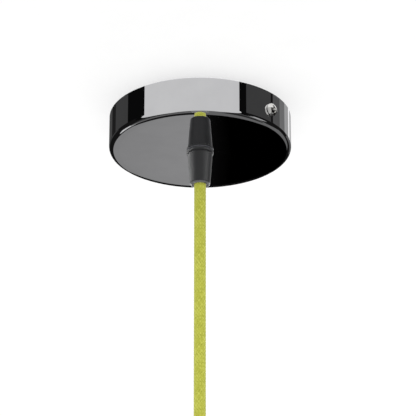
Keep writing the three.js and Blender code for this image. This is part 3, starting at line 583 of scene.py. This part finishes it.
def sized_tree(name, **sizes):
    """A geometry node tree with a named input for each size, and one for the material."""
    tree = bpy.data.node_groups.new(name, "GeometryNodeTree")
    sockets = tree.interface
    sockets.new_socket("Geometry", in_out="INPUT", socket_type="NodeSocketGeometry")
    for key, kind in sizes.items():
        sockets.new_socket(key, in_out="INPUT", socket_type=f"NodeSocket{kind}")
    sockets.new_socket("Material", in_out="INPUT", socket_type="NodeSocketMaterial")
    sockets.new_socket("Geometry", in_out="OUTPUT", socket_type="NodeSocketGeometry")
    return tree, put(tree, "NodeGroupInput").node.outputs


def end_tree(tree, shape, given):
    whole = put(tree, "GeometryNodeRealizeInstances", {"Geometry": shape})
    dressed = put(tree, "GeometryNodeSetMaterial", {"Geometry": whole, "Material": given["Material"]})
    put(tree, "NodeGroupOutput", {"Geometry": dressed})
    return tree


def sweep(tree, given):
    """A closed round tube along the line. turn counts from 0 to 1 round it, and run counts metres
    along it. centre is the point of the line that a point of the tube lies round."""
    line = put(tree, "GeometryNodeMeshToCurve", {"Mesh": given["Geometry"]})
    line = put(tree, "GeometryNodeResampleCurve", {"Curve": line, "Length": given["Row"]}, mode="LENGTH")
    counts = put(tree, "GeometryNodeSplineParameter").node.outputs
    place = put(tree, "GeometryNodeInputPosition")
    for name, value, kind in (("run", counts["Length"], "FLOAT"), ("centre", place, "FLOAT_VECTOR")):
        line = put(tree, "GeometryNodeStoreNamedAttribute", {
            "Geometry": line, "Name": name, "Value": value}, data_type=kind, domain="POINT")
    ring = put(tree, "GeometryNodeCurvePrimitiveCircle", {
        "Resolution": given["Sides"], "Radius": given["Radius"]})
    ring = put(tree, "GeometryNodeStoreNamedAttribute", {
        "Geometry": ring, "Name": "turn", "Value": counts["Factor"]}, data_type="FLOAT", domain="POINT")
    shape = put(tree, "GeometryNodeCurveToMesh", {"Curve": line, "Profile Curve": ring, "Fill Caps": True})
    turn, run = (put(tree, "GeometryNodeInputNamedAttribute", {"Name": name}, "Attribute", data_type="FLOAT")
                 for name in ("turn", "run"))
    return shape, turn, run


def reach_out(tree, shape, share):
    """Moves each point of a tube to a share of its distance from the line."""
    centre = put(tree, "GeometryNodeInputNamedAttribute", {"Name": "centre"}, "Attribute",
                 data_type="FLOAT_VECTOR")
    place = put(tree, "GeometryNodeInputPosition")
    arm = put(tree, "ShaderNodeVectorMath", {0: place, 1: centre}, operation="SUBTRACT")
    moved = put(tree, "ShaderNodeVectorMath", {0: arm, 1: share, 2: centre}, operation="MULTIPLY_ADD")
    return put(tree, "GeometryNodeSetPosition", {"Geometry": shape, "Position": moved})


def tube_tree():
    """A sleeve or a bundle of twisted strands. Groove is the depth between strands, as a share."""
    tree, given = sized_tree("tube", Radius="Float", Row="Float", Sides="Int", Strands="Int", Twist="Float",
                             Groove="Float")
    shape, turn, run = sweep(tree, given)
    # A strand is half a wave, so the wave turns half as often as there are strands
    waves = put(tree, "ShaderNodeMath", {0: given["Strands"], 1: 0.5}, operation="MULTIPLY")
    twist = put(tree, "ShaderNodeMath", {0: run, 1: given["Twist"]}, operation="MULTIPLY")
    angle = put(tree, "ShaderNodeMath", {0: turn, 1: 2 * math.pi, 2: twist}, operation="MULTIPLY_ADD")
    phase = put(tree, "ShaderNodeMath", {0: angle, 1: waves}, operation="MULTIPLY")
    wave = put(tree, "ShaderNodeMath", {0: phase}, operation="COSINE")
    strand = put(tree, "ShaderNodeMath", {0: wave}, operation="ABSOLUTE")
    hollow = put(tree, "ShaderNodeMath", {0: 1.0, 1: strand}, operation="SUBTRACT")
    depth = put(tree, "ShaderNodeMath", {0: hollow, 1: given["Groove"]}, operation="MULTIPLY")
    share = put(tree, "ShaderNodeMath", {0: 1.0, 1: depth}, operation="SUBTRACT")
    shape = reach_out(tree, shape, share)
    round_twice = put(tree, "ShaderNodeMath", {0: turn, 1: 4 * math.pi}, operation="MULTIPLY")
    stripe = put(tree, "ShaderNodeMath", {0: round_twice}, operation="COSINE")
    shape = put(tree, "GeometryNodeStoreNamedAttribute", {
        "Geometry": shape, "Name": "stripe", "Value": stripe}, data_type="FLOAT", domain="POINT")
    return end_tree(tree, shape, given)


def braid_tree():
    """Yarns wound both ways round the line, each over one and under one of the other way."""
    yarn_width = 1.4
    flat_share = 0.35
    yarn_spacing = 10.0  # keeps the fibres of one yarn apart from the next one's
    tree, given = sized_tree("braid", Radius="Float", Row="Float", Sides="Int", Yarns="Int", Diamond="Float",
                             Rise="Float")
    shape, turn, run = sweep(tree, given)
    yarns = given["Yarns"]
    round_it = put(tree, "ShaderNodeMath", {0: turn, 1: yarns}, operation="MULTIPLY")
    climb = put(tree, "ShaderNodeMath", {0: run, 1: given["Diamond"]}, operation="DIVIDE")
    ways = [put(tree, "ShaderNodeMath", {0: round_it, 1: climb}, operation=operation)
            for operation in ("ADD", "SUBTRACT")]
    cells, parts = ([put(tree, "ShaderNodeMath", {0: way}, operation=operation) for way in ways]
                    for operation in ("FLOOR", "FRACT"))
    crossing = put(tree, "ShaderNodeMath", {0: cells[0], 1: cells[1]}, operation="ADD")
    under = put(tree, "ShaderNodeMath", {0: crossing, 1: 2.0}, operation="FLOORED_MODULO")
    names = [put(tree, "ShaderNodeMath", {0: cell, 1: yarns}, operation="FLOORED_MODULO") for cell in cells]
    names[1] = put(tree, "ShaderNodeMath", {0: names[1], 1: yarns}, operation="ADD")
    # Of the two yarns at each point, the one on top
    across, along, name = (put(tree, "ShaderNodeMix", {0: under, 2: one, 3: other}, data_type="FLOAT")
                           for one, other in (parts, parts[::-1], names))
    humps = []
    for part in (across, along):
        angle = put(tree, "ShaderNodeMath", {0: part, 1: math.pi}, operation="MULTIPLY")
        sine = put(tree, "ShaderNodeMath", {0: angle}, operation="SINE")
        humps.append(put(tree, "ShaderNodeMath", {0: sine}, operation="SQRT"))
    swing = put(tree, "ShaderNodeMath", {0: humps[1], 1: 1 - flat_share, 2: flat_share},
                operation="MULTIPLY_ADD")
    relief = put(tree, "ShaderNodeMath", {0: humps[0], 1: swing}, operation="MULTIPLY")
    yarn = put(tree, "ShaderNodeMath", {0: name, 1: 0.5}, operation="ADD")
    side = put(tree, "ShaderNodeMath", {0: yarn, 1: yarn_spacing}, operation="MULTIPLY")
    lie = put(tree, "ShaderNodeMath", {0: across, 1: yarn_width, 2: side}, operation="MULTIPLY_ADD")
    for key, value in (("relief", relief), ("yarn", yarn), ("lie", lie)):
        shape = put(tree, "GeometryNodeStoreNamedAttribute", {
            "Geometry": shape, "Name": key, "Value": value}, data_type="FLOAT", domain="POINT")
    kept = put(tree, "GeometryNodeInputNamedAttribute", {"Name": "relief"}, "Attribute", data_type="FLOAT")
    hollow = put(tree, "ShaderNodeMath", {0: 1.0, 1: kept}, operation="SUBTRACT")
    sunk = put(tree, "ShaderNodeMath", {0: hollow, 1: given["Rise"]}, operation="MULTIPLY")
    lost = put(tree, "ShaderNodeMath", {0: sunk, 1: given["Radius"]}, operation="DIVIDE")
    share = put(tree, "ShaderNodeMath", {0: 1.0, 1: lost}, operation="SUBTRACT")
    return end_tree(tree, reach_out(tree, shape, share), given)


def grub_tree():
    """A slotted screw on each point, standing up from it. The slot is three times as deep as wide."""
    tree, given = sized_tree("grub_screws", Radius="Float", Length="Float", Slot="Float")
    rod = put(tree, "GeometryNodeMeshCylinder", {"Vertices": 32, "Radius": given["Radius"],
                                                 "Depth": given["Length"]})
    width, deep = (put(tree, "ShaderNodeMath", {0: given[size], 1: 3.0}, operation="MULTIPLY")
                   for size in ("Radius", "Slot"))
    middle = put(tree, "ShaderNodeMath", {0: given["Length"], 1: 0.5}, operation="MULTIPLY")
    size = put(tree, "ShaderNodeCombineXYZ", {"X": width, "Y": given["Slot"], "Z": deep})
    half = put(tree, "ShaderNodeCombineXYZ", {"Z": middle})
    slot = put(tree, "GeometryNodeMeshCube", {"Size": size})
    slot = put(tree, "GeometryNodeTransform", {"Geometry": slot, "Translation": half})
    screw = put(tree, "GeometryNodeMeshBoolean", {"Mesh 1": rod, "Mesh 2": slot},
                operation="DIFFERENCE", solver="MANIFOLD")
    screw = put(tree, "GeometryNodeTransform", {"Geometry": screw, "Translation": half})
    many = put(tree, "GeometryNodeInstanceOnPoints", {"Points": given["Geometry"], "Instance": screw})
    return end_tree(tree, many, given)


def grow(tree, points, joined=True, **sizes):
    """The mesh that a geometry node tree makes of points, or of the line through them."""
    links = [(i, i + 1) for i in range(len(points) - 1)] if joined else []
    mesh = bpy.data.meshes.new("points")
    mesh.from_pydata([tuple(p) for p in points], links, [])
    made = bpy.data.objects.new("points", mesh)
    scene.collection.objects.link(made)
    change = made.modifiers.new("nodes", "NODES")
    change.node_group = tree
    for socket in tree.interface.items_tree:
        if socket.name in sizes:
            change[socket.identifier] = sizes[socket.name]
    mesh = settle(made).data
    bpy.data.objects.remove(made)
    return mesh


def add_cord():
    """The braid has 12 yarns each way and 2.2 mm along the cord from one crossing to the next."""
    mesh = grow(braid_tree(), curve_points(CORD_ROUTE, 1 * MM), Radius=CORD_CREST, Row=0.29 * MM, Sides=96,
                Yarns=12, Diamond=2.2 * MM, Rise=0.34 * MM, Material=LIME)
    return give(piece("lime_cord", mesh, LIME, sharp=180), "lime_textile", "supply_cord")


def add_block_screws():
    """The block's clamp screws, two on each clamp. Places are in mm."""
    block, foot = 27, -13.5
    points = [(x * MM, (block + y) * MM, foot * MM) for x in (-8, 0, 8) for y in (-4, 4)]
    mesh = grow(grub_tree(), points, joined=False, Radius=1.4 * MM, Length=4.6 * MM, Slot=0.56 * MM,
                Material=ZINC)
    nodes = [f"block_screw_{metal}_{row}" for metal in ("live", "earth", "neutral") for row in (1, 2)]
    give(piece("block_screws", mesh, ZINC), "zinc_steel", *nodes)


def add_core(name, route, finish, slot, node, ends):
    """A sleeved core along a route in mm, with a bare end past each (point, direction, length) given."""
    line = curve_points([Vector(p) * MM for p in route], 0.5 * MM)
    meshes = [grow(TUBE, line, Radius=CORE_RADIUS, Row=0.5 * MM, Sides=24, Material=finish)]
    for point, direction, length in ends:
        start, ahead = Vector(point) * MM, Vector(direction).normalized()
        bare = [start - ahead * MM, start + ahead * length * MM]
        meshes.append(grow(TUBE, bare, Radius=WIRE_RADIUS, Row=0.25 * MM, Sides=28, Strands=7, Twist=480.0,
                           Groove=0.07, Material=COPPER))
    joined = bmesh.new()
    for mesh in meshes:
        first = len(joined.faces)
        joined.from_mesh(mesh)
        joined.faces.ensure_lookup_table()
        for face in joined.faces[first:]:
            face.material_index = min(first, 1)
    mesh = bpy.data.meshes.new(name)
    joined.to_mesh(mesh)
    joined.free()
    give(piece(name, mesh, (finish, COPPER), sharp=50), slot, node)


def add_canopy_cores():
    """The three cores from the grip to the block and the bond from the block to the bracket, in mm."""
    inward, outward = (0, -1, 0), (0, 1, 0)
    bare, short = 5, 3
    cores = [(-1, "live", BROWN, "brown_sleeve"), (1, "neutral", BLUE, "blue_sleeve")]
    for side, name, finish, slot in cores:
        route = [(side * x, y, z) for x, y, z in (
            (1.3, -0.75, -13.7), (1.3, -0.75, -12.5), (2.4, 1.02, -10.1), (4.64, 4.51, -8.9),
            (6.64, 9.02, -10.1), (7.76, 14, -12.32), (8, 17.5, -14.3), (8, 20.5, -14.3))]
        add_core(f"{name}_core", route, finish, slot, f"canopy_core_{name}", [(route[-1], outward, bare)])
    earth = [(0, 1.5, -13.7), (0, 1.5, -12.5), (0, 3.28, -10.1), (0, 6.56, -9.14), (0, 10.46, -10.7),
             (0, 14, -12.76), (0, 17.5, -14.3), (0, 20.5, -14.3)]
    add_core("earth_core", earth, STRIPED, "green_yellow_sleeve", "canopy_core_earth",
             [(earth[-1], outward, bare)])
    bond = [(-40.04, 14.2, -2.1), (-40.04, 16.2, -2.1), (-39.24, 19.2, -2.9), (-34.44, 26.2, -5.46),
            (-24.52, 34.5, -9.3), (-12.96, 38.94, -12.5), (-4, 39.9, -14.3), (-0.4, 37.5, -14.3),
            (0, 33.5, -14.3)]
    add_core("earth_bond", bond, STRIPED, "green_yellow_sleeve", "bonding_lead",
             [(bond[0], inward, short), (bond[-1], inward, bare)])


def add_holder_shell():
    """The lamp holder's cup: the canopy's shape again, turned over to open downwards."""
    shape = cup(HOLDER_RADIUS, HOLDER_HEIGHT, HOLDER_WALL, HOLDER_BEND, STEM_RADIUS + HOLE_GAP, 192)
    turn = Matrix.Translation((0, 0, HOLDER_TOP - HOLDER_HEIGHT)) @ Matrix.Rotation(math.pi, 4, "X")
    give(piece("chrome_lamp_cup", shape, CHROME, turn), "polished_chrome", "holder_shell")


def add_lining():
    """The rolled brass sleeve of the lamp socket, with three holes in its end."""
    pitch, wall = 3.63 * MM, 0.4 * MM
    mean, wave = 12.8 * MM, 0.55 * MM
    top, length = -234.4 * MM, 22 * MM
    end_hole = 7.2 * MM
    rows = 56
    levels = [top - length + (length - wall) * i / rows for i in range(rows + 1)]

    def swell(reach, angle, height):
        if reach < mean - wave:
            return reach
        fade = max(0, min(1, (height - top + length) / pitch, (top - height) / pitch))
        return reach + wave * fade * math.cos(2 * math.pi * height / pitch - angle)

    shape = spun([*((mean + wall, z) for z in levels[:-1]), (mean + wall, top), (end_hole, top),
                  (end_hole, top - wall), *((mean, z) for z in reversed(levels))], 96, swell)
    lining = piece("brass_lamp_thread", shape, BRASS)
    low_end, high_end = top - 2 * MM, top + MM
    for x, y, radius in ((-9.2, 0, 1.75), (9.2, 0, 1.75), (0, -9.2, 1.45)):
        rod = spun([(0, low_end), (radius * MM, low_end), (radius * MM, high_end), (0, high_end)], 24,
                   closed=False)
        cut(lining, piece("hole", rod, BRASS, Matrix.Translation((x * MM, y * MM, 0))))
    crisp(lining.data, 40)
    give(lining, "brass", "socket_lining")


def add_world():
    """White behind everything. Polished faces see a studio of lit and dark cards instead."""
    # Angles are to the right of the camera and heights are above the level, both in degrees
    front_card = (-85, 60)
    front_floor, side_floor = -70, -45
    wall_low, wall_high = 22, 29  # what the canopy's wall mirrors lies between these heights
    sheet_low, sheet_high = -29.5, -21.5  # and what its underside mirrors between these
    sheet_reach, sheet_blur = 0.08, 0.05
    world = bpy.data.worlds.new("studio")
    world.use_nodes = True
    tree = world.node_tree
    tree.nodes.clear()
    look = put(tree, "ShaderNodeTexCoord", output="Generated")
    rightward, nearward = (
        put(tree, "ShaderNodeVectorMath", {0: look, 1: way}, "Value", operation="DOT_PRODUCT")
        for way in (right, -away))
    height = put(tree, "ShaderNodeSeparateXYZ", {0: look}, "Z")
    angle = put(tree, "ShaderNodeMath", {0: rightward, 1: nearward}, operation="ARCTAN2")
    lift = put(tree, "ShaderNodeMath", {0: height}, operation="ARCSINE")
    angle, lift = (put(tree, "ShaderNodeMath", {0: value}, operation="DEGREES") for value in (angle, lift))
    turn = put(tree, "ShaderNodeMapRange", {"Value": angle, "From Min": -180, "From Max": 180})

    def grey(level):
        return rgb("#" + f"{level:02X}" * 3)

    def round_room(cards):
        """A band round the room, each (angle, grey) of it as wide as to the next one's angle."""
        band = put(tree, "ShaderNodeValToRGB", {"Fac": turn}, stops=[
            (start / 360 + 0.5, grey(level)) for start, level in cards])
        band.node.color_ramp.interpolation = "CONSTANT"
        return band

    def above(degrees, low_tone, high_tone):
        share = put(tree, "ShaderNodeMath", {0: lift, 1: degrees}, operation="GREATER_THAN")
        return put(tree, "ShaderNodeMix", {0: share, 6: low_tone, 7: high_tone}, 2, data_type="RGBA")

    def hang(behind, card, across, upright):
        """Hangs a card in front of what is behind it, where both shares are 1."""
        share = put(tree, "ShaderNodeMath", {0: across, 1: upright}, operation="MULTIPLY")
        return put(tree, "ShaderNodeMix", {0: share, 6: behind, 7: card}, 2, data_type="RGBA")

    walls = round_room([
        (-180, 70), (-150, 30), (-135, 60), (-105, 10), (-75, 200), (50, 10), (60, 60), (100, 20), (105, 80),
        (120, 110), (135, 160), (150, 255), (155, 180)])
    front = round_room([(-180, 0), (front_card[0], 255), (front_card[1], 0)])
    room = above(wall_high, walls, grey(255))
    sides = above(sheet_high, above(side_floor, grey(100), grey(20)), above(wall_low, grey(20), room))

    # Lower cards at the sides and beyond, for the canopy's rim: two angles, two heights and a grey
    for first, last, bottom, top, level in (
            (-180, -120, 5, 20, 60), (-160, -130, -45, -35, 200), (-130, -60, -90, -45, 60),
            (70, 90, -40, -15, 160), (130, 160, -10, 20, 90), (120, 180, -50, -25, 100),
            (60, 150, -75, -50, 40)):
        across, upright = (
            put(tree, "ShaderNodeMath", {0: value, 1: (start + end) / 2, 2: (end - start) / 2},
                operation="COMPARE")
            for value, start, end in ((angle, first, last), (lift, bottom, top)))
        sides = hang(sides, grey(level), across, upright)

    # Straight beyond the pendant and low, for the canopy's underside: a grey sheet on the left and
    # black on the right
    edge = put(tree, "ShaderNodeMapRange", {
        "Value": rightward, "From Min": -sheet_blur, "From Max": sheet_blur})
    sheet = put(tree, "ShaderNodeValToRGB", {"Fac": edge}, stops=[
        (0.0, grey(130)), (0.499, grey(140)), (0.501, grey(10)), (0.6, grey(0))])
    spread = put(tree, "ShaderNodeMath", {0: rightward}, operation="ABSOLUTE")
    narrow = put(tree, "ShaderNodeMath", {0: spread, 1: sheet_reach}, operation="LESS_THAN")
    beyond = put(tree, "ShaderNodeMath", {0: nearward, 1: 0.0}, operation="LESS_THAN")
    across = put(tree, "ShaderNodeMath", {0: narrow, 1: beyond}, operation="MULTIPLY")
    upright = put(tree, "ShaderNodeMath", {0: lift, 1: (sheet_low + sheet_high) / 2,
                                           2: (sheet_high - sheet_low) / 2}, operation="COMPARE")
    sides = hang(sides, sheet, across, upright)

    near = above(front_floor, grey(100), room)
    studio = put(tree, "ShaderNodeMix", {0: front, 6: sides, 7: near}, 2, data_type="RGBA")
    mirrored = put(tree, "ShaderNodeLightPath", output="Is Glossy Ray")
    cards_light = put(tree, "ShaderNodeBackground", {"Color": studio, "Strength": 1.0})
    room_light = put(tree, "ShaderNodeBackground", {"Color": (1, 1, 1, 1), "Strength": 1.02})
    shown = put(tree, "ShaderNodeMixShader", {0: mirrored, 1: room_light, 2: cards_light})
    put(tree, "ShaderNodeOutputWorld", {"Surface": shown})
    scene.world = world


def add_side_lamp(name, turned, risen, width, height, radiance):
    """A soft lamp for the cord grips alone: the chrome doesn't mirror it and the canopy doesn't
    shade it. It stands at an angle to the right of the camera and at a height, in degrees."""
    distance = 0.6
    aim = Vector((0, 0, -CANOPY_HEIGHT - 10 * MM))
    lamp = bpy.data.lights.new(name, "AREA")
    lamp.shape = "RECTANGLE"
    lamp.size, lamp.size_y = width, height
    lamp.energy = radiance * math.pi * width * height
    lamp.cycles.use_multiple_importance_sampling = False
    level = -away * math.cos(math.radians(turned)) + right * math.sin(math.radians(turned))
    toward = level * math.cos(math.radians(risen)) + UP * math.sin(math.radians(risen))
    facing = toward.to_track_quat("Z", "Y").to_matrix().to_4x4()
    holder = bpy.data.objects.new(name, lamp)
    holder.matrix_world = Matrix.Translation(aim + toward * distance) @ facing
    scene.collection.objects.link(holder)
    lit = bpy.data.collections.new(f"lit_by_{name}")
    for made in scene.objects:
        if made.name.startswith(("canopy_grip", "holder_grip")):
            lit.objects.link(made)
    holder.light_linking.receiver_collection = lit
    holder.light_linking.blocker_collection = lit


def add_ceiling():
    """A white ceiling round the canopy, unseen from above and in polished faces, whose paint is mixed with a
    painted glow.
    """
    inner, outer, height = CANOPY_RADIUS - 0.5 * MM, 0.6, 0.02 * MM
    count, patch = 128, 30
    verts = [(r * math.cos(2 * math.pi * i / count), r * math.sin(2 * math.pi * i / count), height)
             for r in (inner, outer) for i in range(count)]
    faces = [(i, (i + 1) % count, (i + 1) % count + count, i + count) for i in range(count)]
    mesh = bpy.data.meshes.new("ceiling")
    mesh.from_pydata(verts, [], faces)
    made, tree = new_tree("white_plaster_with_painted_glow")
    place = put(tree, "ShaderNodeTexCoord", output="Object")
    # Painted light: a white glow mixed into the paint, less of it on the camera's side than beside it, so the
    # canopy's shadow shows more on the camera's side than beside it
    outward = put(tree, "ShaderNodeVectorMath", {0: place}, operation="NORMALIZE")
    nearness = put(tree, "ShaderNodeVectorMath", {0: outward, 1: -away}, "Value", operation="DOT_PRODUCT")
    share = put(tree, "ShaderNodeMapRange", {"Value": nearness, "To Min": 0.3, "To Max": 0.76})
    drift = put(tree, "ShaderNodeTexNoise", {"Vector": place, "Scale": 1 / (patch * MM), "Detail": 3.0})
    tint = put(tree, "ShaderNodeValToRGB", {"Fac": drift}, stops=[
        (0.3, rgb("#FAFAFA")), (0.7, rgb("#FDFDFD"))])
    paint = put(tree, "ShaderNodeBsdfDiffuse", {"Color": tint})
    painted_glow = put(tree, "ShaderNodeEmission", {"Color": (1, 1, 1, 1), "Strength": 1.08})
    lit = put(tree, "ShaderNodeMixShader", {0: share, 1: painted_glow, 2: paint})
    clear = put(tree, "ShaderNodeBsdfTransparent")
    back = put(tree, "ShaderNodeNewGeometry", output="Backfacing")
    shown = put(tree, "ShaderNodeMixShader", {0: back, 1: lit, 2: clear})
    put(tree, "ShaderNodeOutputMaterial", {"Surface": shown})
    mesh.materials.append(made)
    ceiling = bpy.data.objects.new("ceiling", mesh)
    scene.collection.objects.link(ceiling)
    if mesh.polygons[0].normal.z > 0:
        mesh.flip_normals()
    ceiling.visible_glossy = False


add_camera()
add_world()
add_ceiling()
add_canopy()
add_side_screws()
add_grip("canopy", Matrix.Translation((0, 0, -CANOPY_HEIGHT)))
add_grip("holder", Matrix.Translation((0, 0, HOLDER_TOP)) @ Matrix.Rotation(math.pi, 4, "X"))
# Each lamp's angle and height in degrees, its width and height in metres, and its radiance
add_side_lamp("left_lamp", -100, 18, 0.8, 0.36, 2.3)
add_side_lamp("right_lamp", 66, 17, 0.5, 0.36, 2.2)
add_side_lamp("back_lamp", 180, -6, 1.8, 0.34, 3.2)
add_side_lamp("front_lamp", 0, 17, 0.8, 0.36, 0.35)
TUBE = tube_tree()
add_canopy_cores()
add_block_screws()
add_holder_shell()
add_lining()

for node in ("ceiling_bracket", "canopy_lock_washer", "holder_strap"):
    refined(node, ZINC, "zinc_steel", edge=0.2)
for node in ("earth_screw", "holder_earth_screw", "body_screw_right", "body_screw_left",
             "holder_terminal_screw_live", "holder_terminal_screw_neutral"):
    refined(node, ZINC, "zinc_steel", edge=0.06)
for metal in ("live", "earth", "neutral"):
    refined(f"block_clamp_{metal}", BRASS, "brass", edge=0.12)
for node in ("centre_contact", "live_rivet", "neutral_rivet", "holder_terminal_live",
             "holder_terminal_neutral"):
    refined(node, BRASS, "brass", edge=0.1)
refined("terminal_block", WHITE, "white_plastic", edge=0.3)
refined("holder_body", CERAMIC, "ceramic", edge=0.3)
for node in ("bonding_lug", "holder_earth_lug"):
    refined(node, TINNED, "tinned_copper", edge=0.08)
for name, finish, slot in (("live", BROWN, "brown_sleeve"), ("neutral", BLUE, "blue_sleeve"),
                           ("earth", STRIPED, "green_yellow_sleeve")):
    refined(f"holder_core_{name}", finish, slot, edge=0.05, sharp=50)

cord = add_cord()
